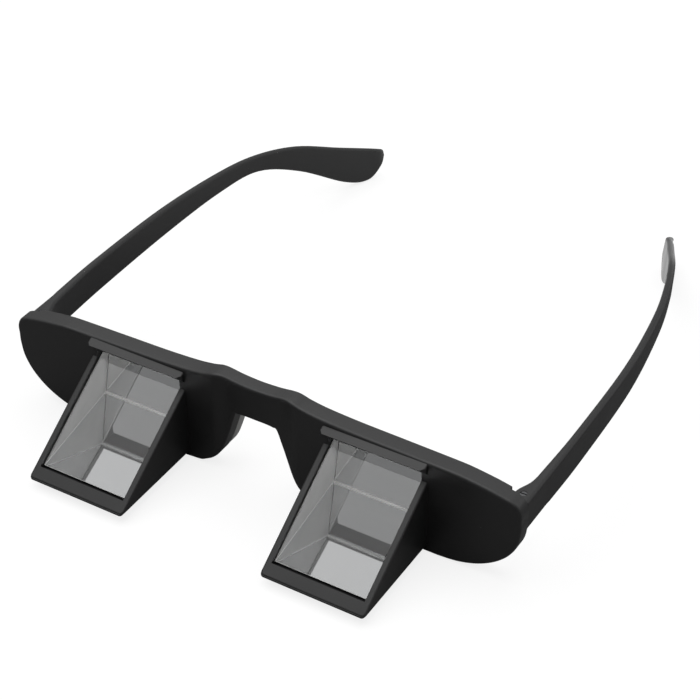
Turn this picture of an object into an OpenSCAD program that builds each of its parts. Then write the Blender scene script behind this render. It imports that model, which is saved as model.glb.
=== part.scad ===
// Belay glasses: a one-piece front with two hooded prisms, two folding temples.
// Millimetres, +Z up, -Y is the side that faces away from the wearer's eyes.
// The part rests on the lower edges of its two lobes and on its temple tips, at z = 0.

/* [Front plate] */
// Overall width of the front
frame_w = 144.4; // [140:0.2:150]
// Thickness of the front plate
plate_t = 5; // [4.4:0.2:6]
// Thickness of the plate's outer ends, in front of the hinges
end_t = 3.9; // [3.4:0.1:4.2]
// Height of the hood bases above the lowest edge of the plate
hood_lift = 2.7; // [2:0.05:3.4]
// Thickness of the brow over each prism
brow_t = 3.8; // [3:0.1:4.8]
// Rise of the two bridge shoulders above the brow
shoulder_rise = 2; // [1.2:0.1:3]
// Half distance between the bridge shoulders
shoulder_x = 10.3; // [9.5:0.1:11.5]
// Height of the bridge at its middle
bridge_h = 9.5; // [8:0.1:10.5]
// Width of the nose gap just under the bridge
nose_top_w = 12; // [11:0.2:13]
// Width of the nose gap at the bottom of the lobes
nose_foot_w = 36.8; // [34:0.2:37.6]
// Length over which the top of the plate falls towards each end
end_fall_w = 18; // [15:0.5:22]
// How far it falls there, before it turns down
end_fall = 6; // [5:0.1:7]
// Height of the rounded lower outer corners
corner_h = 16.7; // [13:0.1:17.5]
// Width of the rounded lower outer corners
corner_w = 21.5; // [16:0.5:22.5]

/* [Prisms] */
// Distance between the middles of the two prisms
lens_pitch = 68; // [66:0.5:71]
// Width of each prism
prism_w = 25; // [23:0.5:26.5]
// Length of each prism's mirrored base
prism_len = 30.2; // [27:0.1:32]
// Slope of the viewing face above the base, in degrees
face_angle = 33.5; // [31:0.5:36]
// Ground bevel along the prism's long edges
bevel = 0.45; // [0.2:0.05:0.7]
// Thickness of the mirror coat with its black backing
mirror_t = 0.15; // [0.1:0.05:0.3]
// Thickness of the soft bed under the mirror
bed_t = 0.3; // [0.2:0.05:0.6]

/* [Hoods] */
// Side wall of the hoods
wall_t = 1.6; // [1.2:0.1:2.2]
// Floor of the hoods
floor_t = 0.8; // [0.6:0.1:1.6]
// Height of the rim above the prism's viewing face
rim_rise = 0.88; // [0.5:0.02:1.4]
// Side and top clearance round each prism
pocket_gap = 0.1; // [0.05:0.05:0.25]
// How far the ledge over each prism stands out of the plate
ledge_out = 2; // [1.2:0.1:2.6]
// Step from the top of the plate down to the ledge
ledge_step = 0.4; // [0.3:0.1:1.4]

/* [Eye bezels] */
// Thickness of the bezels behind the prisms
bezel_t = 1.4; // [1.1:0.1:2]
// Overlap of the bezel's lip on the prism's edge
bezel_lip = 0.35; // [0.25:0.05:0.8]
// Width of the bezel's band round the pocket
bezel_band = 4.8; // [4.4:0.1:5]
// Shank radius of the bezel screws
screw_r = 0.7; // [0.6:0.05:0.8]
// Head radius of the bezel screws
screw_head_r = 1.3; // [1.1:0.05:1.4]
// Head height of the bezel screws
screw_head_h = 0.6; // [0.4:0.05:0.7]
// Plastic left in front of the blind screw holes
front_skin = 1.3; // [1:0.1:2]

/* [Nose pads] */
// Width of the soft nose pads
pad_w = 2.2; // [1.6:0.1:2.6]
// How far the nose pads stand out behind the plate
pad_out = 3.8; // [2.5:0.1:4.5]
// Radius of the pegs that hold the nose pads
peg_r = 0.7; // [0.5:0.05:0.8]
// Length of the nose pad pegs
peg_len = 2.2; // [1.5:0.1:2.6]

/* [Temples] */
// Length of a temple from the hinge pin to its tip
temple_len = 133; // [126:1:142]
// Length of the turned-down tip
tip_len = 42; // [38:1:46]
// Thickness of the temples
temple_t = 2.1; // [1.8:0.1:2.6]
// Thickness of the temples beside the hinge
root_t = 3; // [2.6:0.1:3.2]
// Height of the temples beside the hinge
root_h = 8.6; // [8:0.2:9.4]
// Height of the temples halfway along
mid_h = 9.2; // [8:0.1:9.6]
// Height of the temples at the bend over the ear
bend_h = 5.4; // [4.6:0.1:6.2]
// Height of the tip's paddle
paddle_h = 11.5; // [10.5:0.1:12.5]
// How far the tips bow inwards from the widest place
bow_in = 23.6; // [20:0.2:25]
// How far the foot of the tip's paddle leans inwards
paddle_lean = 0.8; // [0:0.1:1.4]

/* [Hinges] */
// Distance of the hinge pins from the ends of the plate
pin_inset = 2.7; // [2.5:0.1:3]
// Height of the hinge's middle above the ground
hinge_z = 18.7; // [17.5:0.1:19.5]
// Radius of the temple's knuckles
knuckle_r = 2.3; // [2.1:0.05:2.5]
// Radius of the lug on the front plate
lug_r = 1.5; // [1.35:0.05:1.6]
// Height of the lug on the front plate
lug_h = 2.8; // [2.4:0.1:3.4]
// Radius of the hinge screw's shank
pin_r = 0.7; // [0.6:0.05:0.75]
// Head radius of the hinge screw
pin_head_r = 0.85; // [0.8:0.05:1.3]
// Head height of the hinge screw
pin_head_h = 0.6; // [0.4:0.1:0.8]
// Width across the flats of the hinge nut
nut_af = 2.4; // [2.2:0.1:2.6]
// Thickness of the hinge nut
nut_h = 1.2; // [1:0.1:1.4]
// Running gap between parts that move past each other
run_gap = 0.3; // [0.2:0.05:0.4]
// Radial clearance of pins, screws and pegs in their holes
bore_gap = 0.04; // [0.02:0.01:0.08]

/* [Hidden] */

eps = 0.01;
through = 1;                        // how far cuts run past the faces they open
left = -1;
right = 1;
$fn = 48;

// Prism and hood levels
bed_z = hood_lift + floor_t;
base_z = bed_z + bed_t + mirror_t;
slope = tan(face_angle);
prism_h = prism_len * slope;
prism_back = plate_t;
prism_front = prism_back - prism_len;
roof_z = base_z + prism_h + pocket_gap;
plate_top = roof_z + brow_t;
lens_x = lens_pitch / 2;
pocket_w = prism_w + 2 * pocket_gap;
hood_w = pocket_w + 2 * wall_t;
rim_y = prism_front - rim_rise * sin(face_angle);
rim_z = base_z + rim_rise * cos(face_angle);
lip_y = rim_y - (rim_z - hood_lift) / slope;

// Hinge places
half_w = frame_w / 2;
pin_x = half_w - pin_inset;
pin_y = end_t + run_gap + knuckle_r;
root_top = hinge_z + root_h / 2;
root_foot = hinge_z - root_h / 2;
temple_face = half_w - run_gap;     // outer face of the temples at the hinge

// Temple stations along Y, from the hinge pin
tip_y = pin_y + temple_len;
bend_y = tip_y - tip_len;

// The origin lies below the middle of the whole part
mid_y = (lip_y + tip_y) / 2;
module place() translate([0, -mid_y, 0]) children();
module on_side(side) place() mirror([side == left ? 1 : 0, 0, 0]) children();

// Smooth curves
function blend4(a, b, c, d, t) =
    0.5 * (2 * b + (c - a) * t + (2 * a - 5 * b + 4 * c - d) * t * t
           + (3 * b - a - 3 * c + d) * t * t * t);
// Closed curve through the points, steps pieces between neighbours
function closed_curve(p, steps) =
    let (n = len(p))
    [for (i = [0 : n - 1]) for (s = [0 : steps - 1])
        blend4(p[(i + n - 1) % n], p[i], p[(i + 1) % n], p[(i + 2) % n], s / steps)];
// Open curve through the rows, any number of columns
function open_curve(p, steps) =
    let (n = len(p))
    concat([for (i = [0 : n - 2]) for (s = [0 : steps - 1])
        blend4(p[max(i - 1, 0)], p[i], p[i + 1], p[min(i + 2, n - 1)], s / steps)],
        [p[n - 1]]);

// Front outline, right half, from the bridge's top round to its underside
nose_top = nose_top_w / 2;
nose_foot = nose_foot_w / 2;
bridge_top = plate_top + shoulder_rise - 0.85;
bridge_foot = bridge_top - bridge_h;
nose_drop = bridge_foot - 0.6;
function nose_edge(z) =             // half width of the nose gap at a height
    let (f = 1 - z / nose_drop)
    nose_top + (nose_foot - nose_top) * (0.51 * f + 0.49 * pow(f, 8));
nose_levels = [0.03, 0.07, 0.13, 0.22, 0.36, 0.56, 0.78, 1];
nose_pts = [for (f = nose_levels) [nose_edge(f * nose_drop), f * nose_drop]];
lobe_foot_in = lens_x - prism_w / 2 + 6;
lobe_foot_out = half_w - corner_w;
end_curve = [[1, 0.085], [0.8, 0.125], [0.6, 0.2], [0.42, 0.285], [0.26, 0.385],
             [0.14, 0.48], [0.05, 0.65], [0, 1]];        // shares of end_fall_w and end_fall
half_outline = concat(
    [[0, bridge_top],
     [shoulder_x / 2, bridge_top + 0.25],
     [shoulder_x, plate_top + shoulder_rise],
     [shoulder_x + 3.7, plate_top + shoulder_rise * 0.6],
     [shoulder_x + 8.5, plate_top + shoulder_rise * 0.27],
     [lens_x - prism_w / 4, plate_top + 0.05],
     [lens_x + prism_w / 4, plate_top - 0.2]],
    [for (e = end_curve) [half_w - end_fall_w * e[0], plate_top - end_fall * e[1]]],
    [[half_w, (plate_top - end_fall + corner_h) / 2]],
    [for (a = [0 : 15 : 90])        // rounded lower outer corner
        [half_w - corner_w * (1 - cos(a)), corner_h * (1 - sin(a))]],
    [[lobe_foot_out - 4, 0],
     [lobe_foot_in + 4, 0],
     [lobe_foot_in, 0],
     [nose_foot + 4, 0.1],
     [nose_foot + 1.2, 0.3]],
    nose_pts,
    [[nose_top - 1, bridge_foot - 0.2],
     [nose_top - 3, bridge_foot],
     [0, bridge_foot]]);
function flip(p) = [for (i = [len(p) - 2 : -1 : 1]) [-p[i][0], p[i][1]]];
function above_ground(p) = [for (q = p) [q[0], max(q[1], 0)]];
outline = above_ground(closed_curve(concat(half_outline, flip(half_outline)), 4));

// A shape given in (y, z), drawn out along X about a middle
module bar_x(points, width, at_x)
    translate([at_x - width / 2, 0, 0]) rotate([90, 0, 90]) linear_extrude(width) polygon(points);
// A shape given in (x, z), drawn out along Y from y0 to y1
module slab_y(points, y0, y1)
    translate([0, y1, 0]) rotate([90, 0, 0]) linear_extrude(y1 - y0) polygon(points);
// A round bar along Y
module rod_y(x, z, y0, y1, r) translate([x, y1, z]) rotate([90, 0, 0]) cylinder(h = y1 - y0, r = r);
// A round bar along Z
module rod_z(x, y, z0, z1, r) translate([x, y, z0]) cylinder(h = z1 - z0, r = r);

// Bezel screw places in one eye, and their depths
screw_dx = pocket_w / 2 + bezel_band / 2 + 0.2;
screw_low_z = base_z + 2.2;
screw_high_z = roof_z - 2.2;
screw_places = [for (dx = [-screw_dx, screw_dx]) for (z = [screw_low_z, screw_high_z]) [lens_x + dx, z]];
hole_front = front_skin;
screw_tip = hole_front + 0.4;
screw_seat = plate_t + bezel_t - screw_head_h - 0.1;

// Nose pad pegs, at two heights on the pad
pad_low_z = nose_drop * 0.25;
pad_high_z = nose_drop * 0.86;
function pad_mid(z) = nose_edge(z) + pad_w / 2 + 0.1;
peg_levels = [nose_drop * 0.36, nose_drop * 0.74];

// One hood with its ledge, right side
module hood() {
    bar_x([[lip_y, hood_lift], [through, hood_lift], [through, rim_z + (through - rim_y) * slope]],
          hood_w, lens_x);
}
module ledge() {
    ledge_top = plate_top - ledge_step;
    ledge_edge = ledge_top - ledge_out * tan(30);
    bar_x([[-ledge_out, ledge_edge], [0, ledge_top], [through, ledge_top], [through, roof_z], [0, roof_z]],
          hood_w, lens_x);
}
// Room for the prism, its mirror and bed, open to the front above the rim and to the back
module pocket() {
    lip_top = [prism_front - 3 * sin(face_angle), base_z + 3 * cos(face_angle)];
    bar_x([[prism_front, bed_z], [plate_t + through, bed_z], [plate_t + through, roof_z],
           [-ledge_out - 1, roof_z], lip_top, [prism_front, base_z]],
          pocket_w, lens_x);
}
module front_half() {
    difference() {
        union() {
            hood();
            ledge();
        }
        pocket();
    }
    // lug of the hinge
    rod_z(pin_x, pin_y, hinge_z - lug_h / 2, hinge_z + lug_h / 2, lug_r);
    translate([pin_x - lug_r, end_t - eps, hinge_z - lug_h / 2])
        cube([2 * lug_r, pin_y - end_t + eps, lug_h]);
}
module front_cuts() {
    pocket();
    for (s = screw_places) rod_y(s[0], s[1], hole_front, plate_t + through, screw_r + bore_gap);
    for (z = peg_levels) rod_y(pad_mid(z), z, plate_t - peg_len - 0.3, plate_t + through, peg_r + bore_gap);
    // thinner end; its step stays just outside the circle in which the knuckles turn
    turn_r = knuckle_r + run_gap;
    relief_x = pin_x - sqrt(pow(turn_r, 2) - pow(min(turn_r, pin_y - plate_t), 2));
    difference() {
        translate([relief_x, end_t, -through]) cube([half_w, plate_t, plate_top + 2 * through]);
        rod_z(pin_x, pin_y, hinge_z - lug_h / 2, hinge_z + lug_h / 2, lug_r);
        translate([pin_x - lug_r, 0, hinge_z - lug_h / 2]) cube([2 * lug_r, pin_y, lug_h]);
    }
    rod_z(pin_x, pin_y, hinge_z - lug_h / 2 - through, hinge_z + lug_h / 2 + through, pin_r + bore_gap);
}
module front_frame() color("#242424") place() difference() {
    union() {
        slab_y(outline, 0, plate_t);
        for (m = [0, 1]) mirror([m, 0, 0]) front_half();
    }
    for (m = [0, 1]) mirror([m, 0, 0]) front_cuts();
}

// Prism with ground bevels along its three long edges
module prism(side) color([0.85, 0.9, 0.92, 0.45]) on_side(side)
    bar_x([[prism_front + bevel / slope + bevel, base_z],
           [prism_back - bevel, base_z],
           [prism_back, base_z + bevel],
           [prism_back, base_z + prism_h - bevel],
           [prism_back - bevel, base_z + prism_h - bevel * slope],
           [prism_front + bevel / slope, base_z + bevel]],
          prism_w, lens_x);

module prism_mirror(side) color("#b9bcc0") on_side(side)
    translate([lens_x - prism_w / 2, prism_front + bevel / slope + bevel, base_z - mirror_t])
        cube([prism_w, prism_len - bevel / slope - 2 * bevel, mirror_t]);

module prism_bed(side) color("#1c1c1c") on_side(side)
    translate([lens_x - prism_w / 2, prism_front + bevel / slope + bevel, bed_z])
        cube([prism_w, prism_len - bevel / slope - 2 * bevel, bed_t]);

// Bezel that closes the pocket behind the prism: a rounded plate with a window
module eye_bezel(side) color("#2a2a2a") on_side(side) {
    bezel_w = pocket_w + 2 * bezel_band;
    foot = bed_z - 1.4;
    top = roof_z + 1.4;
    round_r = 2.4;
    y0 = plate_t;
    y1 = plate_t + bezel_t;
    win_w = prism_w - 2 * bezel_lip;
    win_foot = base_z + bezel_lip;
    win_top = base_z + prism_h - bezel_lip;
    difference() {
        union() {
            translate([lens_x - bezel_w / 2 + round_r, y0, foot]) cube([bezel_w - 2 * round_r, bezel_t, top - foot]);
            translate([lens_x - bezel_w / 2, y0, foot + round_r]) cube([bezel_w, bezel_t, top - foot - 2 * round_r]);
            for (dx = [-1, 1]) for (z = [foot + round_r, top - round_r])
                rod_y(lens_x + dx * (bezel_w / 2 - round_r), z, y0, y1, round_r);
        }
        translate([lens_x - win_w / 2, y0 - through, win_foot]) cube([win_w, bezel_t + 2 * through, win_top - win_foot]);
        for (s = screw_places) {
            rod_y(s[0], s[1], y0 - through, y1 + through, screw_r + bore_gap);
            rod_y(s[0], s[1], screw_seat, y1 + through, screw_head_r + bore_gap);
        }
    }
}

module bezel_screws() color("#3a3a3c") for (side = [left, right]) on_side(side)
    for (s = screw_places) difference() {
        union() {
            rod_y(s[0], s[1], screw_tip, screw_seat + eps, screw_r);
            rod_y(s[0], s[1], screw_seat, screw_seat + screw_head_h, screw_head_r);
        }
        for (turn = [0, 90]) translate([s[0], screw_seat + screw_head_h, s[1]]) rotate([0, turn, 0])
            cube([screw_head_r * 1.2, screw_head_h, 0.3], center = true);
    }

// Soft pad behind the nose edge, with two pegs
module nose_pad(side) color("#303030") on_side(side) {
    levels = [for (f = [0 : 0.125 : 1]) pad_low_z + (pad_high_z - pad_low_z) * f];
    edge = [for (z = levels) [nose_edge(z) + 0.1, z]];
    inner = [for (i = [len(levels) - 1 : -1 : 0])
        let (f = 2 * i / (len(levels) - 1) - 1)
        [nose_edge(levels[i]) + 0.1 + pad_w * (1 - 0.5 * pow(f, 4)), levels[i]]];
    slab_y(concat(edge, inner), plate_t, plate_t + pad_out);
    for (z = peg_levels) rod_y(pad_mid(z), z, plate_t - peg_len, plate_t + eps, peg_r);
}

// Temple: rings with rounded corners, square to Y.
// Each row is [y, outer face x, top z, bottom z, thickness, inward lean of the foot]
straight = bend_y - pin_y;
wide_x = temple_face + 0.1;
tip_x = wide_x - bow_in;
mid_top = hinge_z + 0.4 + mid_h / 2;
bend_top = hinge_z + 1.6 + bend_h / 2;
temple_rows = [
    [pin_y, temple_face, root_top, root_foot, root_t, 0],
    [pin_y + 0.1 * straight, temple_face + 0.05, root_top + 0.2, root_foot - 0.1, temple_t + 0.5, 0],
    [pin_y + 0.28 * straight, wide_x, mid_top, mid_top - mid_h, temple_t, 0],
    [pin_y + 0.59 * straight, wide_x - 0.75, mid_top, mid_top - mid_h + 1.1, temple_t, 0],
    [pin_y + 0.84 * straight, wide_x - 3.5, bend_top + 0.5, bend_top - bend_h - 0.2, temple_t, 0],
    [bend_y, wide_x - 6.95, bend_top - 0.1, bend_top - bend_h, temple_t, 0.1],
    [bend_y + 0.33 * tip_len, tip_x + 0.5 * bow_in, 8.5 + paddle_h, 0.2 + paddle_h, temple_t, 0.6 * paddle_lean],
    [bend_y + 0.66 * tip_len, tip_x + 0.25 * bow_in, 2.5 + paddle_h, 2.4, temple_t + 0.2, paddle_lean],
    [bend_y + 0.84 * tip_len, tip_x + 0.11 * bow_in, paddle_h - 0.7, 0, temple_t + 0.2, paddle_lean],
    [tip_y - 2.4, tip_x + 0.015 * bow_in, 9, 3, temple_t, 0.6 * paddle_lean],
    [tip_y, tip_x - 0.2, 7.7, 5.5, temple_t * 0.7, 0.25 * paddle_lean]];
ring_count = 12;                    // points round a ring, three to each corner
function ring(row) =
    let (x1 = row[1], x0 = row[1] - row[4], z1 = row[2], z0 = max(row[3], 0), lean = row[5],
         r = min(0.6, row[4] * 0.42, (z1 - z0) * 0.42),
         corners = [[x1 - r, z1 - r, 0], [x0 + r, z1 - r, 90],
                    [x0 + r - lean, z0 + r, 180], [x1 - r - lean, z0 + r, 270]])
    [for (c = corners) for (a = [0, 45, 90]) [c[0] + r * cos(c[2] + a), row[0], c[1] + r * sin(c[2] + a)]];
module temple_bar() {
    rings = [for (row = open_curve(temple_rows, 4)) ring(row)];
    n = ring_count;
    last = len(rings) - 1;
    points = [for (r = rings) for (p = r) p];
    sides = [for (i = [0 : last - 1]) for (j = [0 : n - 1])
        let (a = i * n + j, b = i * n + (j + 1) % n)
        each [[a, b, a + n], [b, b + n, a + n]]];
    caps = [[for (j = [n - 1 : -1 : 0]) j], [for (j = [0 : n - 1]) last * n + j]];
    polyhedron(points, concat(sides, caps), convexity = 4);
}
butt_y = end_t + run_gap;
fork_half = lug_h / 2 + run_gap;
head_seat = root_top - 0.1 - pin_head_h;
nut_foot = root_foot + 0.3;
module temple(side) color("#2b2b2b") on_side(side) difference() {
    union() {
        temple_bar();
        rod_z(pin_x, pin_y, root_foot, root_top, knuckle_r);
        translate([pin_x, butt_y, root_foot]) cube([temple_face - pin_x, pin_y - butt_y + eps, root_h]);
    }
    // slot for the lug, open to the front and to the inside
    rod_z(pin_x, pin_y, hinge_z - fork_half, hinge_z + fork_half, lug_r + run_gap);
    translate([pin_x - lug_r - run_gap, butt_y - through, hinge_z - fork_half])
        cube([2 * (lug_r + run_gap), pin_y - butt_y + through, 2 * fork_half]);
    translate([pin_x - knuckle_r - through, butt_y - through, hinge_z - fork_half])
        cube([knuckle_r + through, pin_y - butt_y + through + lug_r + run_gap, 2 * fork_half]);
    rod_z(pin_x, pin_y, root_foot - through, root_top + through, pin_r + bore_gap);
    rod_z(pin_x, pin_y, head_seat, root_top + through, pin_head_r + bore_gap);
    translate([pin_x, pin_y, root_foot - through])
        cylinder(h = nut_foot + nut_h + through - root_foot, r = nut_af / sqrt(3) + bore_gap, $fn = 6);
}

module hinge_screw(side) color("#4a4a4c") on_side(side) difference() {
    union() {
        rod_z(pin_x, pin_y, nut_foot, head_seat + eps, pin_r);
        rod_z(pin_x, pin_y, head_seat, head_seat + pin_head_h, pin_head_r);
    }
    translate([pin_x, pin_y, head_seat + pin_head_h]) cube([2 * pin_head_r + 1, 0.35, pin_head_h], center = true);
}

module hinge_nut(side) color("#77777a") on_side(side) difference() {
    translate([pin_x, pin_y, nut_foot]) cylinder(h = nut_h, r = nut_af / sqrt(3), $fn = 6);
    rod_z(pin_x, pin_y, nut_foot - through, nut_foot + nut_h + through, pin_r + bore_gap);
}

front_frame();
prism(left);  // prism_left
prism(right);  // prism_right
prism_mirror(left);  // prism_mirror_left
prism_mirror(right);  // prism_mirror_right
prism_bed(left);  // prism_bed_left
prism_bed(right);  // prism_bed_right
eye_bezel(left);  // eye_bezel_left
eye_bezel(right);  // eye_bezel_right
bezel_screws();
nose_pad(left);  // nose_pad_left
nose_pad(right);  // nose_pad_right
temple(left);  // temple_left
temple(right);  // temple_right
hinge_screw(left);  // hinge_screw_left
hinge_screw(right);  // hinge_screw_right
hinge_nut(left);  // hinge_nut_left
hinge_nut(right);  // hinge_nut_right
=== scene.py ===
"""Belay glasses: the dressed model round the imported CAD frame.

The pieces' sizes are in millimetres, as on a drawing, and become metres when a piece
is made; the studio is in metres. -Y is the way the glasses face and z = 0 is the table.
"""
import math

import bpy
from mathutils import Matrix, Vector


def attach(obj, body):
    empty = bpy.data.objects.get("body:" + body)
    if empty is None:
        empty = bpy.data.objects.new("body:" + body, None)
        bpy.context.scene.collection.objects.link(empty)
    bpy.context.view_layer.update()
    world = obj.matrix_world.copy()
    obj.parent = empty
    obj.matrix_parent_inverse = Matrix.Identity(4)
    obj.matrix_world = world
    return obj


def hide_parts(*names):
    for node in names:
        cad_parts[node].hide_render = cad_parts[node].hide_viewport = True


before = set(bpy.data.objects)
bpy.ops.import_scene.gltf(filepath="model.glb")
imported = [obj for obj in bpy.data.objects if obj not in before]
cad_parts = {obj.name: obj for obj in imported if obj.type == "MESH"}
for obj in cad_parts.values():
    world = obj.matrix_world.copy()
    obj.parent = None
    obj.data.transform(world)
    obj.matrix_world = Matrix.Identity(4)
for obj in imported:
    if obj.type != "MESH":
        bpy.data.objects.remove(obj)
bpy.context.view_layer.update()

MM = 0.001

# Front
HALF_W = 72.2              # half width of the front
PLATE_T = 5.0
END_T = 3.9                # thickness of the plate's ends, in front of the hinges
BROW_T = 3.8               # plastic above each prism
SHOULDER_X = 10.3          # bridge shoulders
SHOULDER_RISE = 2.0
BRIDGE_DIP = 0.85          # the bridge's top lies this far below its shoulders
BRIDGE_H = 9.5
BRIDGE_SET_BACK = 0.7      # the bridge's face lies behind the lobes' faces
BRIDGE_SIDE = 12.5         # where the set-back face has run out, from the middle
BRIDGE_BLEND = 5.0         # the width over which it runs out
NOSE_TOP = 6.0             # half widths of the nose gap
NOSE_FOOT = 18.4
NOSE_CORNER_H = 0.6        # height of the rounded corners at its top
NOSE_STRAIGHT = 0.51       # share of its spread that is straight; the rest flares at the foot
CORNER_H = 16.7            # rounded lower outer corners
CORNER_W = 21.5
END_FALL_W = 18.0          # the top's fall towards each end
END_FALL = 6.0
FRONT_ROUND = 0.8          # roundings of the plate's rims
BACK_ROUND = 0.5

# Prisms and hoods
LENS_X = 34.0
PRISM_W = 25.0
PRISM_LEN = 30.2
FACE_ANGLE = math.radians(33.5)
PRISM_BEVEL = 0.45         # ground edges along the base and the slope
PRISM_END_BEVEL = 0.15     # ground edges round the two sides
MIRROR_T = 0.15
MIRROR_GAP = 0.02          # the glass stands clear of the mirror sheet under it
BED_T = 0.3
WALL_T = 1.6
FLOOR_T = 0.8
POCKET_GAP = 0.1
RIM_RISE = 0.88            # height of a hood's rim above the glass
HOOD_LIFT = 2.7            # height of the hood bases above the table
HOOD_IN = 1.0              # how far a hood reaches into the plate
HOOD_ROUND = 0.5
LIP_BLUNT = 0.12           # the sharp front edge of a hood is cut back by this
LIP_CORNER = 1.0           # rounded front corners of a hood
LEDGE_OUT = 2.0
LEDGE_IN = 1.6             # how far a ledge reaches into the plate
LEDGE_STEP = 0.75          # from the top of the plate down to the ledge's top
LEDGE_DROP = 1.55          # from the top of the plate down to the ledge's front edge
LEDGE_EDGE_T = 0.3
LEDGE_SLANT = 1.3          # slanted ends of a ledge, seen from above
LEDGE_ROUND = 0.5

# Eye side
BEZEL_T = 1.4
BEZEL_LIP = 0.35
BEZEL_BAND = 4.8
BEZEL_OVERLAP = 1.4        # how far a bezel reaches past the pocket's floor and roof
BEZEL_CORNER = 2.4
BEZEL_ROUND = 0.35
SCREW_IN = 2.2             # the bezel screws' places, in from the prism's base and roof
SCREW_OUT = 0.2            # and out from the middle of the bezel's band
SCREW_R = 0.7
SCREW_HEAD_R = 1.3
SCREW_HEAD_H = 0.6
PAD_W = 2.2
PAD_OUT = 3.8
PAD_EDGE = 0.1             # a pad lies this far from the nose gap's edge
PAD_SPAN = (0.25, 0.86)    # its lower and upper end, as shares of the nose gap's height
PAD_NARROWING = 0.5        # its ends are narrower than its middle by this share
PAD_ROUND = 0.75
PEG_PLACES = (0.36, 0.74)  # its two pegs, as shares of the nose gap's height
PEG_R = 0.7
PEG_LEN = 2.2
PEG_IN = 0.5               # how far a peg reaches into its pad

# Hinges and temples
PIN_X = 69.5
HINGE_Z = 18.7
ROOT_H = 8.6
ROOT_T = 3.0
TEMPLE_T = 2.1
TEMPLE_FACE = 71.9
TEMPLE_LEN = 133.0
TIP_LEN = 42.0
MID_H = 9.2                # heights of a temple at its middle and bend
BEND_H = 5.4
MID_RISE = 0.4             # its middle line rises above the hinge by this, at middle and bend
BEND_RISE = 1.6
PADDLE_H = 11.5            # height of a temple's tip where it is widest
PADDLE_LEAN = 0.8          # the tips' lower edges lean towards the head
BOW_IN = 23.6              # how far the tips curve in
TEMPLE_ROUND = 0.95
ROUND_SHARE = 0.48         # a rounding takes at most this share of the bar's thickness
BUTT_ROUND = 0.35
TIP_ROUND = 0.6
KNUCKLE_R = 2.3
LUG_R = 1.5
LUG_H = 2.8
LUG_IN = 0.5               # how far the lug's neck reaches into the plate
RUN_GAP = 0.3
PIN_R = 0.7
PIN_HEAD_R = 0.85
PIN_HEAD_H = 0.6
NUT_AF = 2.4
NUT_SEAT = 1.5

# Fits, and what the tools need
FIT_GAP = 0.04             # room round a screw, a head or a nut
SINK = 0.1                 # screw heads lie this far below the face
THROUGH = 1.0              # a cutter reaches this far past what it cuts
NEAR = 0.01                # points this close to a place lie on it

# Levels that follow from these
slope = math.tan(FACE_ANGLE)
bed_z = HOOD_LIFT + FLOOR_T
base_z = bed_z + BED_T + MIRROR_T
prism_h = PRISM_LEN * slope
prism_back = PLATE_T
prism_front = prism_back - PRISM_LEN
roof_z = base_z + prism_h + POCKET_GAP
plate_top = roof_z + BROW_T
bridge_top = plate_top + SHOULDER_RISE - BRIDGE_DIP
bridge_foot = bridge_top - BRIDGE_H
nose_drop = bridge_foot - NOSE_CORNER_H
pocket_w = PRISM_W + 2 * POCKET_GAP
hood_w = pocket_w + 2 * WALL_T
rim_y = prism_front - RIM_RISE * math.sin(FACE_ANGLE)
rim_z = base_z + RIM_RISE * math.cos(FACE_ANGLE)
lip_y = rim_y - (rim_z - HOOD_LIFT) / slope
pin_y = END_T + RUN_GAP + KNUCKLE_R
root_top = HINGE_Z + ROOT_H / 2
root_foot = HINGE_Z - ROOT_H / 2
tip_y = pin_y + TEMPLE_LEN
mid_y = (lip_y + tip_y) / 2          # the origin's place along the drawing's Y


# Workbench

def at(x, y, z):
    """A place on the drawing, in the model's metres."""
    return Vector((x * MM, (y - mid_y) * MM, z * MM))


def on_drawing(vertex):
    """A vertex's place on the drawing."""
    return vertex.co / MM + Vector((0, mid_y, 0))


def about_prism(side, width):
    """The two ends, along X, of something as wide as width about one prism's middle."""
    return side * LENS_X - width / 2, side * LENS_X + width / 2


def between(side, inner, outer):
    """The two ends, along X, of a stretch on one side of the glasses."""
    return sorted((side * inner, side * outer))


def only(obj):
    """Selects one object alone and makes it active."""
    bpy.ops.object.select_all(action="DESELECT")
    obj.select_set(True)
    bpy.context.view_layer.objects.active = obj


def edit(obj, mode):
    """Opens one object alone in edit mode."""
    only(obj)
    bpy.ops.object.mode_set(mode="EDIT")
    bpy.ops.mesh.select_mode(type=mode)


def leave():
    """Back to object mode."""
    bpy.ops.object.mode_set(mode="OBJECT")


def pick_edges(obj, wanted):
    """Opens obj with the edges selected for which wanted(a, b) is true of their ends."""
    edit(obj, "EDGE")
    bpy.ops.mesh.select_all(action="DESELECT")
    leave()
    for edge in obj.data.edges:
        a, b = (on_drawing(obj.data.vertices[i]) for i in edge.vertices)
        edge.select = wanted(a, b)
    edit(obj, "EDGE")


def round_edges(obj, wanted, width, segments, clamp=False):
    """Rounds or bevels the edges that wanted(a, b) picks."""
    pick_edges(obj, wanted)
    bpy.ops.mesh.bevel(offset=width * MM, segments=segments, profile=0.5, clamp_overlap=clamp)
    leave()


def at_level(level):
    """Picks the edges that lie at one level of the drawing's Y."""
    return lambda a, b: abs(a.y - level) < NEAR and abs(b.y - level) < NEAR


def square_to_x(a, b):
    """True of an edge that lies in one end face of a bar drawn out along X."""
    return abs(a.x - b.x) < NEAR


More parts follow.
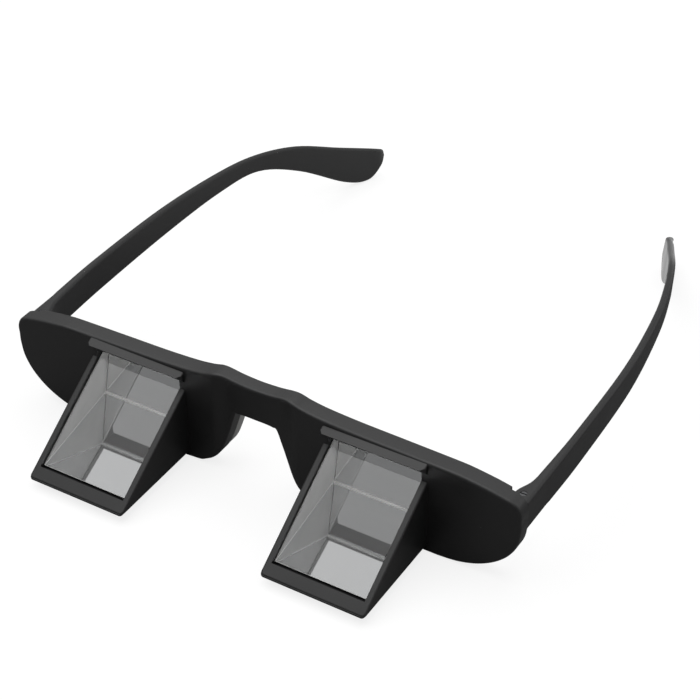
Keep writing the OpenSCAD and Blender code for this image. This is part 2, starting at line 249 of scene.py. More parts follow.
def drawn(name, profile, axis, low, high):
    """A bar whose section is profile, drawn out along X, Y or Z from low to high."""
    bpy.ops.object.select_all(action="DESELECT")
    bpy.ops.mesh.primitive_circle_add(vertices=len(profile), radius=1, fill_type="NGON")
    obj = bpy.context.object
    obj.name = name
    for vertex, (u, v) in zip(obj.data.vertices, profile):
        vertex.co = {"X": at(low, u, v), "Y": at(u, low, v), "Z": at(u, v, low)}[axis]
    edit(obj, "FACE")
    bpy.ops.mesh.select_all(action="SELECT")
    run = (high - low) * MM
    step = tuple(run if axis == along else 0 for along in "XYZ")
    bpy.ops.mesh.extrude_region_move(TRANSFORM_OT_translate={"value": step})
    face_outwards()
    return obj


def face_outwards():
    """Turns all faces of the object in edit mode outwards, and closes edit mode."""
    bpy.ops.mesh.select_all(action="SELECT")
    bpy.ops.mesh.normals_make_consistent(inside=False)
    leave()


def block(name, x0, x1, y0, y1, z0, z1):
    """A rectangular bar between three pairs of places."""
    return drawn(name, [(y0, z0), (y1, z0), (y1, z1), (y0, z1)], "X", x0, x1)


def rod(name, centre, axis, length, radius, sides=48):
    """A round bar from centre, the middle of its first end, along Y or Z."""
    bpy.ops.object.select_all(action="DESELECT")
    along = Vector((0, 1, 0)) if axis == "Y" else Vector((0, 0, 1))
    place = at(*centre) + along * length * MM / 2
    turn = (-math.pi / 2, 0, 0) if axis == "Y" else (0, 0, 0)
    bpy.ops.mesh.primitive_cylinder_add(vertices=sides, radius=radius * MM, depth=length * MM,
                                        location=place, rotation=turn)
    obj = bpy.context.object
    obj.name = name
    bpy.ops.object.transform_apply(location=True, rotation=True, scale=True)
    return obj


def apply(obj, kind, **settings):
    """Adds one modifier and applies it."""
    only(obj)
    modifier = obj.modifiers.new(kind.title(), kind)
    for key, value in settings.items():
        setattr(modifier, key, value)
    bpy.ops.object.modifier_apply(modifier=modifier.name)


def join_in(obj, tool, operation="UNION"):
    """Unites obj with tool, or does another operation with it, and clears the tool away."""
    apply(obj, "BOOLEAN", object=tool, operation=operation, solver="EXACT")
    mesh = tool.data
    bpy.data.objects.remove(tool)
    bpy.data.meshes.remove(mesh)


def cut(obj, tool):
    """Cuts tool out of obj and clears the tool away."""
    join_in(obj, tool, "DIFFERENCE")


def clean(obj):
    """Merges double points and needle faces that the cuts have left."""
    least = 0.002 * MM
    edit(obj, "VERT")
    bpy.ops.mesh.select_all(action="SELECT")
    bpy.ops.mesh.remove_doubles(threshold=least)
    bpy.ops.mesh.dissolve_degenerate(threshold=least)
    face_outwards()


def shade(obj, degrees=32, weighted=True):
    """Smooths the edges that turn by less than this angle; weighted keeps large faces flat."""
    only(obj)
    bpy.ops.object.shade_smooth_by_angle(angle=math.radians(degrees))
    if weighted:
        apply(obj, "WEIGHTED_NORMAL", keep_sharp=True, weight=80)


def dress(obj, *finishes):
    """Gives a piece or a CAD node its finishes, in place of those that it has."""
    obj.data.materials.clear()
    for finish in finishes:
        obj.data.materials.append(finish)


def assign(obj, body, node_name):
    """Puts a piece on the body that it rides on, and hides the CAD node that it stands for."""
    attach(obj, body)
    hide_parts(node_name)


# Material nodes

def feed(tree, socket, value):
    """Links another node's output to a socket, or sets a number or colour on it."""
    if isinstance(value, bpy.types.NodeSocket):
        tree.links.new(value, socket)
    else:
        socket.default_value = value


def node(tree, kind, **inputs):
    """Adds a node with what its named inputs take."""
    new = tree.nodes.new(kind)
    for key, value in inputs.items():
        feed(tree, new.inputs[key.replace("_", " ")], value)
    return new


def maths(tree, operation, *values):
    """What a Math node makes of numbers and other nodes' outputs."""
    new = tree.nodes.new("ShaderNodeMath")
    new.operation = operation
    for socket, value in zip(new.inputs, values):
        feed(tree, socket, value)
    return new.outputs[0]


def mixed(tree, kind, share, first, second):
    """First and second, numbers or colours, mixed by share."""
    new = tree.nodes.new("ShaderNodeMix")
    new.data_type = kind
    feed(tree, new.inputs["Factor"], share)
    feed(tree, new.inputs["A"], first)
    feed(tree, new.inputs["B"], second)
    return new.outputs["Result"]


def noise(tree, place, grain_mm, detail, roughness=0.5):
    """Cloudy noise with grains of about this size."""
    new = node(tree, "ShaderNodeTexNoise", Vector=place, Scale=1 / (grain_mm * MM),
               Detail=detail, Roughness=roughness)
    return new.outputs["Fac"]


def ranged(tree, pattern, low, high, start=0.0, end=1.0):
    """Goes from low to high as the pattern goes from start to end."""
    new = node(tree, "ShaderNodeMapRange", Value=pattern, From_Min=start, From_Max=end,
               To_Min=low, To_Max=high)
    return new.outputs["Result"]


def two_tones(tree, pattern, dark, light, start=0.0, end=1.0):
    """Goes from one colour to the other as the pattern goes from start to end."""
    new = node(tree, "ShaderNodeValToRGB", Fac=pattern)
    first, last = new.color_ramp.elements
    first.position, last.position = start, end
    first.color, last.color = (*dark, 1), (*light, 1)
    return new.outputs["Color"]


def bumps(tree, pattern, strength, depth_mm):
    """The surface's normal, stirred by a pattern."""
    new = node(tree, "ShaderNodeBump", Height=pattern, Strength=strength, Distance=depth_mm * MM)
    return new.outputs["Normal"]


def place_on_piece(tree):
    """Where on the piece a pattern is looked up: the object's own coordinates."""
    return tree.nodes.new("ShaderNodeTexCoord").outputs["Object"]


def new_finish(name, **own):
    """A material, its tree and its shader's inputs, with the values that are the same all over."""
    material = bpy.data.materials.new(name)
    material.use_nodes = True
    tree = material.node_tree
    shader = tree.nodes["Principled BSDF"].inputs
    for key, value in own.items():
        shader[key.replace("_", " ")].default_value = value
    return material, tree, shader


# Finishes

GLASS_IOR = 1.517


def moulded_plastic(name, dark, light, roughness, specular):
    """Satin black moulding: fine spark-eroded grain, cloudy gloss and a little dust."""
    material, tree, shader = new_finish(name, Specular_IOR_Level=specular)
    place = place_on_piece(tree)
    cloud = noise(tree, place, grain_mm=14, detail=3)
    black = two_tones(tree, cloud, (dark, dark, dark * 1.03), (light, light, light * 1.02), 0.35, 0.7)
    specks = node(tree, "ShaderNodeTexVoronoi", Vector=place, Scale=1 / (4.2 * MM))
    dust = ranged(tree, specks.outputs["Distance"], 0.0, 0.45, start=0.03, end=0.012)
    feed(tree, shader["Base Color"], mixed(tree, "RGBA", dust, black, (0.45, 0.45, 0.44, 1)))
    gloss = ranged(tree, cloud, roughness - 0.05, roughness + 0.07, start=0.3, end=0.7)
    feed(tree, shader["Roughness"], gloss)
    grain = noise(tree, place, grain_mm=0.16, detail=2)
    feed(tree, shader["Normal"], bumps(tree, grain, strength=0.18, depth_mm=0.02))
    return material


def polished_glass(name):
    """Clear prism glass, clean and evenly polished."""
    material, _, _ = new_finish(name, Base_Color=(0.98, 0.983, 0.979, 1), IOR=GLASS_IOR,
                                Transmission_Weight=1.0, Roughness=0.0)
    return material


def ground_glass(name, dark, light, through):
    """Frosted glass, as the grinding wheel leaves it: white, cloudy and faintly streaked."""
    material, tree, shader = new_finish(name, IOR=GLASS_IOR, Transmission_Weight=through)
    place = place_on_piece(tree)
    cloud = noise(tree, place, grain_mm=6, detail=5, roughness=0.6)
    white = two_tones(tree, cloud, (dark, dark, dark * 0.99), (light, light, light * 0.99), 0.3, 0.75)
    feed(tree, shader["Base Color"], white)
    feed(tree, shader["Roughness"], ranged(tree, cloud, 0.55, 0.75))
    return material


def metal(name, colour, roughness):
    """Turned or ground metal with fine marks."""
    material, tree, shader = new_finish(name, Metallic=1.0)
    place = place_on_piece(tree)
    marks = noise(tree, place, grain_mm=0.12, detail=2)
    feed(tree, shader["Base Color"], two_tones(tree, marks, [c * 0.85 for c in colour], colour))
    feed(tree, shader["Roughness"], ranged(tree, marks, roughness * 0.8, roughness * 1.2))
    return material


def soft_rubber(name, colour, roughness):
    """Rubber or foam with a soft, slightly uneven skin."""
    material, tree, shader = new_finish(name, Specular_IOR_Level=0.35)
    place = place_on_piece(tree)
    cloud = noise(tree, place, grain_mm=1.2, detail=3)
    feed(tree, shader["Base Color"], two_tones(tree, cloud, [c * 0.85 for c in colour], colour))
    feed(tree, shader["Roughness"], ranged(tree, cloud, roughness - 0.06, roughness + 0.06))
    feed(tree, shader["Normal"], bumps(tree, cloud, strength=0.25, depth_mm=0.03))
    return material


frame_plastic = moulded_plastic("satin black front", 0.013, 0.018, 0.43, specular=0.5)
temple_plastic = moulded_plastic("satin black temples", 0.014, 0.02, 0.5, specular=0.45)
bezel_plastic = moulded_plastic("satin black bezels", 0.014, 0.02, 0.45, specular=0.5)
glass = polished_glass("polished prism glass")
ground_side = ground_glass("ground prism sides", 0.62, 0.74, through=0.1)
# The edges are real frosted bevels, but their near white, whiter than the ground sides, is partly a
# painted highlight that stands in for the glint of the bevels.
ground_edge_and_glint = ground_glass("ground prism edges with painted glint", 0.97, 1.0, through=0.0)
silver = metal("silvered base", (0.82, 0.83, 0.84), 0.03)
mirror_back = metal("mirror coat", (0.72, 0.73, 0.74), 0.12)
bed_foam = soft_rubber("black foam bed", (0.02, 0.02, 0.02), 0.8)
pad_rubber = soft_rubber("grey nose pad rubber", (0.42, 0.42, 0.41), 0.45)
dark_steel = metal("blackened screws", (0.13, 0.13, 0.135), 0.35)
bright_steel = metal("turned nuts", (0.55, 0.55, 0.56), 0.3)


# Curves

def curve_point(a, b, c, d, t):
    """A place between b and c on the smooth curve through a, b, c and d."""
    return tuple(0.5 * (2 * q + (r - p) * t + (2 * p - 5 * q + 4 * r - s) * t * t
                        + (3 * q - p - 3 * r + s) * t ** 3) for p, q, r, s in zip(a, b, c, d))


def closed_curve(points, steps):
    """A smooth closed curve through points, with steps stretches between each two."""
    n = len(points)
    return [curve_point(points[i - 1], points[i], points[(i + 1) % n], points[(i + 2) % n],
                        s / steps)
            for i in range(n) for s in range(steps)]


def open_curve(rows, steps):
    """The same for rows of numbers that have a first and a last one."""
    last = len(rows) - 1
    out = [curve_point(rows[max(i - 1, 0)], rows[i], rows[i + 1], rows[min(i + 2, last)],
                       s / steps)
           for i in range(last) for s in range(steps)]
    return out + [rows[-1]]


# Front

def nose_edge(z):
    """Half width of the nose gap at a height."""
    f = 1 - z / nose_drop
    return NOSE_TOP + (NOSE_FOOT - NOSE_TOP) * (NOSE_STRAIGHT * f + (1 - NOSE_STRAIGHT) * f ** 8)


def front_outline(steps):
    """The front's outline in (x, z), the same curve as the CAD's, with finer steps."""
    foot_in = LENS_X - PRISM_W / 2 + 6
    foot_out = HALF_W - CORNER_W
    top = [(0, bridge_top), (SHOULDER_X / 2, bridge_top + 0.25),
           (SHOULDER_X, plate_top + SHOULDER_RISE),
           (SHOULDER_X + 3.7, plate_top + SHOULDER_RISE * 0.6),
           (SHOULDER_X + 8.5, plate_top + SHOULDER_RISE * 0.27),
           (LENS_X - PRISM_W / 4, plate_top + 0.05), (LENS_X + PRISM_W / 4, plate_top - 0.2)]
    end = [(HALF_W - END_FALL_W * along, plate_top - END_FALL * fall)
           for along, fall in ((1, 0.085), (0.8, 0.125), (0.6, 0.2), (0.42, 0.285),
                               (0.26, 0.385), (0.14, 0.48), (0.05, 0.65), (0, 1))]
    end += [(HALF_W, (plate_top - END_FALL + CORNER_H) / 2)]
    corner = [(HALF_W - CORNER_W * (1 - math.cos(math.radians(turn))),
               CORNER_H * (1 - math.sin(math.radians(turn)))) for turn in range(0, 91, 15)]
    foot = [(foot_out - 4, 0), (foot_in + 4, 0), (foot_in, 0), (NOSE_FOOT + 4, 0.1),
            (NOSE_FOOT + 1.2, 0.3)]
    nose = [(nose_edge(f * nose_drop), f * nose_drop)
            for f in (0.03, 0.07, 0.13, 0.22, 0.36, 0.56, 0.78, 1)]
    nose += [(NOSE_TOP - 1, bridge_foot - 0.2), (NOSE_TOP - 3, bridge_foot), (0, bridge_foot)]
    half = top + end + corner + foot + nose     # from the bridge round to the nose gap
    whole = half + [(-x, z) for x, z in half[-2:0:-1]]
    return [(x, max(z, 0)) for x, z in closed_curve(whole, steps)]


def set_back(x):
    """How far the bridge's face lies behind the lobes' faces, at a place along the front."""
    t = min(max((BRIDGE_SIDE - abs(x)) / BRIDGE_BLEND, 0), 1)
    return BRIDGE_SET_BACK * t * t * (3 - 2 * t)


def make_plate():
    """The lobes and the bridge, with rounded rims and the bridge's face set back."""
    plate = drawn("front", front_outline(steps=6), "Y", 0, PLATE_T)
    round_edges(plate, at_level(0), FRONT_ROUND, segments=5)
    round_edges(plate, at_level(PLATE_T), BACK_ROUND, segments=4)
    off_points = 0.013                          # keeps the cuts clear of the outline's points
    reach = math.ceil(BRIDGE_SIDE)
    edit(plate, "FACE")
    for step in range(-reach, reach + 1):
        bpy.ops.mesh.select_all(action="SELECT")
        bpy.ops.mesh.bisect(plane_co=at(step + off_points, 0, 0), plane_no=(1, 0, 0))
    leave()
    for vertex in plate.data.vertices:
        depth = (vertex.co.y / MM + mid_y) / PLATE_T
        vertex.co.y += set_back(vertex.co.x / MM) * MM * (1 - depth)
    return plate


def make_hood(side):
    """The wedge round a prism, with its rim and lip."""
    lip = lip_y + LIP_BLUNT
    section = [(lip, HOOD_LIFT), (HOOD_IN, HOOD_LIFT), (HOOD_IN, rim_z + (HOOD_IN - rim_y) * slope),
               (lip, HOOD_LIFT + LIP_BLUNT * slope)]
    hood = drawn("hood", section, "X", *about_prism(side, hood_w))

    def lip_corner(a, b):
        return square_to_x(a, b) and max(a.y, b.y) < lip + NEAR

    def outer_rim(a, b):
        on_rim = all(abs(p.z - rim_z - (p.y - rim_y) * slope) < 2 * NEAR for p in (a, b))
        return on_rim and min(a.y, b.y) < HOOD_IN - NEAR
    round_edges(hood, lip_corner, LIP_CORNER, segments=5)
    round_edges(hood, outer_rim, HOOD_ROUND, segments=3)
    clean(hood)
    return hood


def make_ledge(side):
    """The bar over a prism, a little below the top of the plate, with slanted ends."""
    x0, x1 = about_prism(side, hood_w)
    top = plate_top - LEDGE_STEP
    edge_z = plate_top - LEDGE_DROP
    section = [(-LEDGE_OUT, edge_z), (0, top), (LEDGE_IN, top), (LEDGE_IN, roof_z), (0, roof_z),
               (-LEDGE_OUT + 0.1, edge_z - LEDGE_EDGE_T)]
    ledge = drawn("ledge", section, "X", x0, x1)

    def front_corner(a, b):
        return square_to_x(a, b) and min(a.y, b.y) < -LEDGE_OUT / 2 and max(a.z, b.z) > edge_z - 0.1
    round_edges(ledge, front_corner, LEDGE_ROUND, segments=4)
    clear = 0.1                                 # the slants start this far outside the ledge
    start = -LEDGE_OUT - clear
    for end, inwards in ((x0 - clear, 1), (x1 + clear, -1)):
        corner = [(end, start - THROUGH), (end + inwards * (LEDGE_SLANT + THROUGH), start - THROUGH),
                  (end, start + LEDGE_SLANT)]
        cut(ledge, drawn("slant", corner, "Z", roof_z - THROUGH, top + THROUGH))
    return ledge


def make_pocket(side):
    """Room for the prism, its mirror and bed, open above the glass."""
    above = 3.0                                 # how far the cutter stands up from the glass
    section = [(prism_front, bed_z), (PLATE_T + THROUGH, bed_z), (PLATE_T + THROUGH, roof_z),
               (-LEDGE_OUT - THROUGH, roof_z),
               (prism_front - above * math.sin(FACE_ANGLE), base_z + above * math.cos(FACE_ANGLE)),
               (prism_front, base_z)]
    return drawn("pocket", section, "X", *about_prism(side, pocket_w))


def add_lug(front, side):
    """Thins the plate's end in front of the hinge, and puts the hinge's lug on it."""
    turn_r = KNUCKLE_R + RUN_GAP
    relief_x = PIN_X - math.sqrt(turn_r ** 2 - (pin_y - PLATE_T) ** 2)
    x0, x1 = between(side, relief_x, HALF_W + THROUGH)
    cut(front, block("relief", x0, x1, END_T, PLATE_T + THROUGH, -THROUGH, plate_top + THROUGH))
    low = HINGE_Z - LUG_H / 2
    lug = block("neck", side * PIN_X - LUG_R, side * PIN_X + LUG_R, END_T - LUG_IN, pin_y,
                low, low + LUG_H)
    join_in(lug, rod("lug", (side * PIN_X, pin_y, low), "Z", LUG_H, LUG_R))
    cut(lug, rod("bore", (side * PIN_X, pin_y, low - THROUGH), "Z", LUG_H + 2 * THROUGH,
                 PIN_R + FIT_GAP))
    join_in(front, lug)


def make_front():
    """The one moulding that carries all else: plate, hoods, ledges, pockets and hinge lugs."""
    front = make_plate()
    for side in (-1, 1):
        join_in(front, make_hood(side))
        join_in(front, make_ledge(side))
        cut(front, make_pocket(side))
        add_lug(front, side)
    clean(front)
    shade(front)
    dress(front, frame_plastic)
    assign(front, "front", "front_frame")


# Eye side

def rounded_box(middle, half_w, foot, top, corner):
    """A rectangle with round corners, as points in (x, z)."""
    arcs = ((1, top - corner, 0), (-1, top - corner, 90), (-1, foot + corner, 180),
            (1, foot + corner, 270))
    return [(middle + dx * (half_w - corner) + corner * math.cos(math.radians(turn)),
             z + corner * math.sin(math.radians(turn)))
            for dx, z, start in arcs for turn in range(start, start + 91, 15)]


def make_bezel(side, hand):
    """The plate that shuts a pocket from behind, with a window and four countersunk bores."""
    middle = side * LENS_X
    y0, y1 = PLATE_T, PLATE_T + BEZEL_T
    outline = rounded_box(middle, pocket_w / 2 + BEZEL_BAND, bed_z - BEZEL_OVERLAP,
                          roof_z + BEZEL_OVERLAP, BEZEL_CORNER)
    bezel = drawn(f"eye_bezel_{hand}_plate", outline, "Y", y0, y1)
    round_edges(bezel, at_level(y1), BEZEL_ROUND, segments=3)
    win_x = PRISM_W / 2 - BEZEL_LIP
    cut(bezel, block("window", middle - win_x, middle + win_x, y0 - THROUGH, y1 + THROUGH,
                     base_z + BEZEL_LIP, base_z + prism_h - BEZEL_LIP))
    seat = SCREW_HEAD_H + SINK
    for dx in (-1, 1):
        x = middle + dx * (pocket_w / 2 + BEZEL_BAND / 2 + SCREW_OUT)
        for z in (base_z + SCREW_IN, roof_z - SCREW_IN):
            cut(bezel, rod("bore", (x, y0 - THROUGH, z), "Y", BEZEL_T + 2 * THROUGH,
                           SCREW_R + FIT_GAP, sides=32))
            cut(bezel, rod("seat", (x, y1 - seat, z), "Y", seat + THROUGH,
                           SCREW_HEAD_R + FIT_GAP, sides=32))
    clean(bezel)
    shade(bezel)
    dress(bezel, bezel_plastic)
    assign(bezel, "front", f"eye_bezel_{hand}")


def make_pad(side, hand):
    """A soft pad behind the nose edge, wider in its middle and rounded where it touches."""
    low, high = (nose_drop * share for share in PAD_SPAN)
    steps = 16
    levels = [low + (high - low) * i / steps for i in range(steps + 1)]

    def width(z):
        from_middle = 2 * (z - low) / (high - low) - 1
        return PAD_W * (1 - PAD_NARROWING * from_middle ** 4)
    outline = [(side * (nose_edge(z) + PAD_EDGE), z) for z in levels]
    outline += [(side * (nose_edge(z) + PAD_EDGE + width(z)), z) for z in reversed(levels)]
    pad = drawn(f"nose_pad_{hand}_soft", outline, "Y", PLATE_T, PLATE_T + PAD_OUT)
    round_edges(pad, at_level(PLATE_T + PAD_OUT), PAD_ROUND, segments=5)
    for z in (nose_drop * share for share in PEG_PLACES):
        x = side * (nose_edge(z) + PAD_W / 2 + PAD_EDGE)
        join_in(pad, rod("peg", (x, PLATE_T - PEG_LEN, z), "Y", PEG_LEN + PEG_IN, PEG_R, sides=24))
    clean(pad)
    shade(pad, degrees=50, weighted=False)
    dress(pad, pad_rubber)
    assign(pad, "front", f"nose_pad_{hand}")


# Prisms

def make_prism(side, hand):
    """A right-angled wedge with ground sides and edges, and a silvered base; the edges' near white is
    partly a painted highlight.
    """
    b = PRISM_BEVEL
    low = base_z + MIRROR_GAP
    section = [(prism_front + b / slope + b, low), (prism_back - b, low), (prism_back, low + b),
               (prism_back, base_z + prism_h - b), (prism_back - b, base_z + prism_h - b * slope),
               (prism_front + b / slope, low + b)]
    prism = drawn(f"prism_{hand}_glass", section, "X", *about_prism(side, PRISM_W))

    least_side = 5.0                            # the section's own bevels are shorter

    def long_end(a, b):
        return square_to_x(a, b) and (a - b).length > least_side
    round_edges(prism, long_end, PRISM_END_BEVEL, segments=1)
    finishes = [glass, ground_edge_and_glint, silver, ground_side]
    dress(prism, *finishes)
    upwards_forward = (0, -math.sin(FACE_ANGLE), math.cos(FACE_ANGLE))
    facing = ((silver, (0, 0, -1)), (glass, upwards_forward), (glass, (0, 1, 0)),
              (ground_side, (1, 0, 0)), (ground_side, (-1, 0, 0)))
    aligned = 0.999
    for face in prism.data.polygons:
        fits = [finish for finish, way in facing if face.normal.dot(Vector(way)) > aligned]
        face.material_index = finishes.index(fits[0] if fits else ground_edge_and_glint)
    assign(prism, "front", f"prism_{hand}")


# Temples

def temple_root():
    """The root's sections: round inside about the pin, then a smooth flare into the bar."""
    inner = [(dy, PIN_X - math.sqrt(KNUCKLE_R ** 2 - dy ** 2))
             for dy in (-2.25, -2.1, -1.8, -1.3, -0.7, 0, 0.6)]
    inner += [(dy, PIN_X - KNUCKLE_R + out)
              for dy, out in ((1.3, 0.3), (2.2, 0.66), (3.2, 1.14), (4.4, 1.58), (5.8, 1.88),
                              (7.4, 2.04))]
    return [(pin_y + dy, TEMPLE_FACE, root_top + 0.01 * max(dy, 0), root_foot, TEMPLE_FACE - x, 0)
            for dy, x in inner]


def temple_rows():
    """Sections of a temple, square to Y: y, outer face, top, foot, thickness, lean of the foot."""
    bend_y = tip_y - TIP_LEN
    straight = bend_y - pin_y
    wide = TEMPLE_FACE + 0.1
    tip_x = wide - BOW_IN
    mid_top = HINGE_Z + MID_RISE + MID_H / 2
    bend_top = HINGE_Z + BEND_RISE + BEND_H / 2
    t = TEMPLE_T
    lean = PADDLE_LEAN
    rows = [
        (pin_y, TEMPLE_FACE, root_top, root_foot, ROOT_T, 0),
        (pin_y + 0.10 * straight, TEMPLE_FACE + 0.05, root_top + 0.2, root_foot - 0.1, t + 0.5, 0),
        (pin_y + 0.28 * straight, wide, mid_top, mid_top - MID_H, t, 0),
        (pin_y + 0.59 * straight, wide - 0.75, mid_top, mid_top - MID_H + 1.1, t, 0),
        (pin_y + 0.84 * straight, wide - 3.5, bend_top + 0.5, bend_top - BEND_H - 0.2, t, 0),
        (bend_y, wide - 6.95, bend_top - 0.1, bend_top - BEND_H, t, 0.1),
        (bend_y + 0.33 * TIP_LEN, tip_x + 0.5 * BOW_IN, 8.5 + PADDLE_H, 0.2 + PADDLE_H, t,
         0.6 * lean),
        (bend_y + 0.66 * TIP_LEN, tip_x + 0.25 * BOW_IN, 2.5 + PADDLE_H, 2.4, t + 0.2, lean),
        (bend_y + 0.84 * TIP_LEN, tip_x + 0.11 * BOW_IN, PADDLE_H - 0.7, 0, t + 0.2, lean),
        (tip_y - 2.4, tip_x + 0.015 * BOW_IN, 9, 3, t, 0.6 * lean),
        (tip_y, tip_x - 0.2, 7.7, 5.5, t * 0.7, 0.25 * lean)]
    steps = 7
    return temple_root() + open_curve(rows, steps)[steps:]


def temple_bar(side, name):
    """A bar drawn out through its rounded sections."""
    rows = temple_rows()
    last = len(rows) - 1
    turns = [math.radians(a) for a in (0, 22.5, 45, 67.5, 90)]
    section = []                                # quarter rounds of radius 1 about (2, 2)
    for across, up in ((1, 1), (-1, 1), (-1, -1), (1, -1)):
        arc = turns if across == up else turns[::-1]
        section += [(across * (2 + math.cos(a)), up * (2 + math.sin(a))) for a in arc]
    bar = drawn(name, section, "Y", 0, last)
    pick_edges(bar, lambda a, b: abs(a.y - b.y) > 1)
    bpy.ops.mesh.subdivide(number_cuts=last - 1)
    leave()
    for vertex in bar.data.vertices:
        y, face, top, foot, thick, lean = rows[round(vertex.co.y / MM + mid_y)]
        u, v = vertex.co.x / MM, vertex.co.z / MM
        across, up = math.copysign(1, u), math.copysign(1, v)
        foot = max(foot, 0)
        r = min(TEMPLE_ROUND, ROUND_SHARE * thick, ROUND_SHARE * (top - foot))
        x = (face - r if across > 0 else face - thick + r) - (0 if up > 0 else lean)
        z = top - r if up > 0 else foot + r
        vertex.co = at(side * (x + r * (u - 2 * across)), y, z + r * (v - 2 * up))
    for row, width in ((rows[0], BUTT_ROUND), (rows[-1], TIP_ROUND)):
        round_edges(bar, at_level(row[0]), width, segments=4, clamp=True)
    edit(bar, "VERT")
    face_outwards()
    return bar


def make_temple(side, hand):
    """A temple with the fork for the lug, the pin's bore and the seats of its head and nut."""
    temple = temple_bar(side, f"temple_{hand}_bar")
    fork = LUG_H / 2 + RUN_GAP
    room = LUG_R + RUN_GAP
    low, high = HINGE_Z - fork, HINGE_Z + fork
    start = pin_y - KNUCKLE_R - THROUGH
    inner = PIN_X - KNUCKLE_R - THROUGH
    cut(temple, rod("slot", (side * PIN_X, pin_y, low), "Z", 2 * fork, room))
    cut(temple, block("slot", *between(side, inner, PIN_X + room), start, pin_y, low, high))
    cut(temple, block("slot", *between(side, inner, PIN_X), start, pin_y + room, low, high))

    def bore(name, from_z, to_z, radius, sides=48):
        cut(temple, rod(name, (side * PIN_X, pin_y, from_z), "Z", to_z - from_z, radius, sides))
    bore("bore", root_foot - THROUGH, root_top + THROUGH, PIN_R + FIT_GAP)
    bore("seat", root_top - SINK - PIN_HEAD_H, root_top + THROUGH, PIN_HEAD_R + FIT_GAP)
    nut_r = NUT_AF / math.sqrt(3)
    bore("nut seat", root_foot - THROUGH, root_foot + NUT_SEAT, nut_r + FIT_GAP, sides=6)
    clean(temple)
    shade(temple)
    dress(temple, temple_plastic)
    assign(temple, f"{hand}_temple", f"temple_{hand}")


# Studio, in metres

def make_floor():
    """A sweep that is white to the camera and the glass, with a bright card for gloss alone."""
    bpy.ops.object.select_all(action="DESELECT")
    just_below = -0.02 * MM
    bpy.ops.mesh.primitive_plane_add(size=6, location=(0, 0, just_below))
    floor = bpy.context.object
    floor.name = "floor"
    bpy.ops.object.transform_apply(location=True, rotation=True, scale=True)
    material = bpy.data.materials.new("white sweep")
    material.use_nodes = True
    tree = material.node_tree
    tree.nodes.clear()
    rays = tree.nodes.new("ShaderNodeLightPath").outputs
    seen = maths(tree, "MAXIMUM", rays["Is Camera Ray"], rays["Is Transmission Ray"])
    white = maths(tree, "MULTIPLY", seen, 0.82)

    # the card lies behind the front, and is brightest to the inside of the right temple
    axes = node(tree, "ShaderNodeSeparateXYZ", Vector=place_on_piece(tree)).outputs
    behind = ranged(tree, axes["Y"], 0.0, 2.2, start=0.0, end=0.08)
    across = ranged(tree, axes["X"], 0.0, 1.0, start=-0.1, end=0.1)
    card = node(tree, "ShaderNodeValToRGB", Fac=across)
    ramp = card.color_ramp.elements
    ramp[0].position, ramp[1].position = 0.1, 0.8
    ramp[0].color = ramp[1].color = (0, 0, 0, 1)
    for share, tone in ((0.2, 0.2), (0.5, 0.25), (0.65, 1.0), (0.77, 1.0)):
        ramp.new(share).color = (tone, tone, tone, 1)
    card_light = maths(tree, "MULTIPLY", behind, card.outputs["Color"])
    shine = maths(tree, "MULTIPLY", rays["Is Glossy Ray"], card_light)

    paint = node(tree, "ShaderNodeBsdfDiffuse", Color=(0.22, 0.22, 0.22, 1))
    glow = node(tree, "ShaderNodeEmission", Color=(1, 1, 1, 1),
                Strength=maths(tree, "ADD", white, shine))
    both = tree.nodes.new("ShaderNodeAddShader")
    feed(tree, both.inputs[0], paint.outputs[0])
    feed(tree, both.inputs[1], glow.outputs[0])
    node(tree, "ShaderNodeOutputMaterial", Surface=both.outputs[0])
    floor.data.materials.append(material)


def make_world():
    """White to the camera; to gloss and glass, a room that is dark in front and lighter behind."""
    world = bpy.data.worlds.new("studio")
    bpy.context.scene.world = world
    world.use_nodes = True
    tree = world.node_tree
    back = tree.nodes["Background"].inputs
    direction = tree.nodes.new("ShaderNodeTexCoord").outputs["Generated"]
    axes = node(tree, "ShaderNodeSeparateXYZ", Vector=direction).outputs
    room = node(tree, "ShaderNodeMapRange", Value=axes["Y"], From_Min=-0.75, From_Max=0.35,
                To_Min=0.17, To_Max=0.51)
    room.interpolation_type = "SMOOTHSTEP"
    rays = tree.nodes.new("ShaderNodeLightPath").outputs
    lighter_through_glass = maths(tree, "MULTIPLY_ADD", rays["Is Transmission Ray"], 0.05,
                                  room.outputs["Result"])
    level = mixed(tree, "FLOAT", rays["Is Camera Ray"], lighter_through_glass, 1.0)
    feed(tree, back["Strength"], level)
    feed(tree, back["Color"], (1, 1, 1, 1))


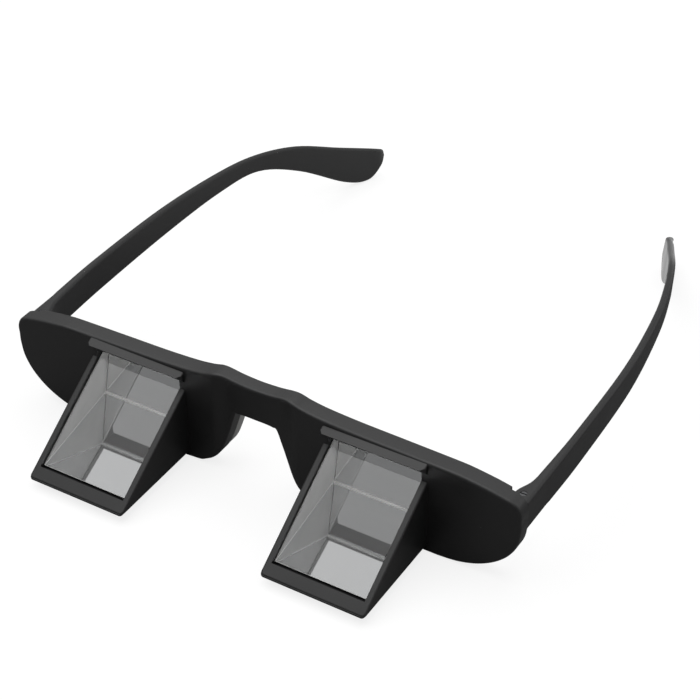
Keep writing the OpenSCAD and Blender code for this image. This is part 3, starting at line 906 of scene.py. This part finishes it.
def lamp(name, place, aim, size, power):
    """A soft rectangular lamp at place that shines on aim, in metres and watts."""
    light = bpy.data.lights.new(name, "AREA")
    light.shape = "RECTANGLE"
    light.size, light.size_y = size
    light.energy = power
    obj = bpy.data.objects.new(name, light)
    bpy.context.collection.objects.link(obj)
    obj.location = place
    obj.rotation_euler = (Vector(aim) - Vector(place)).to_track_quat("-Z", "Y").to_euler()
    obj.visible_camera = False


def make_camera():
    """The photograph's view: from the front and above, off to the right."""
    target = at(6.879, 33.385, 22.168)          # a place on the drawing
    azimuth, elevation, roll = (math.radians(a) for a in (32.398, 37.241, -1.392))
    distance = 0.49191
    back = Vector((math.sin(azimuth) * math.cos(elevation),
                   -math.cos(azimuth) * math.cos(elevation), math.sin(elevation)))
    level = Vector((math.cos(azimuth), math.sin(azimuth), 0))
    upright = back.cross(level)
    right = level * math.cos(roll) + upright * math.sin(roll)
    up = upright * math.cos(roll) - level * math.sin(roll)
    data = bpy.data.cameras.new("camera")
    data.sensor_width = 36
    data.lens = 101.52
    data.clip_start, data.clip_end = 0.01, 50
    camera = bpy.data.objects.new("camera", data)
    bpy.context.collection.objects.link(camera)
    turn = Matrix((right, up, back)).transposed().to_4x4()
    camera.matrix_world = Matrix.Translation(target + back * distance) @ turn
    bpy.context.scene.camera = camera


make_front()
for side, hand in ((-1, "left"), (1, "right")):
    make_prism(side, hand)
    make_bezel(side, hand)
    make_pad(side, hand)
    make_temple(side, hand)
    dress(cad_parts[f"prism_mirror_{hand}"], mirror_back)
    dress(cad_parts[f"prism_bed_{hand}"], bed_foam)
    dress(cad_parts[f"hinge_screw_{hand}"], dark_steel)
    dress(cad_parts[f"hinge_nut_{hand}"], bright_steel)
dress(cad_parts["bezel_screws"], dark_steel)

make_floor()
make_world()
lamp("overhead", place=(-0.25, 0.0, 1.1), aim=(0, 0, 0), size=(1.6, 1.4), power=11.5)
lamp("behind right", place=(0.7, 0.6, 0.45), aim=(0, 0.1, 0), size=(1.1, 0.7), power=1.5)
make_camera()
bpy.context.scene.view_settings.view_transform = "Standard"
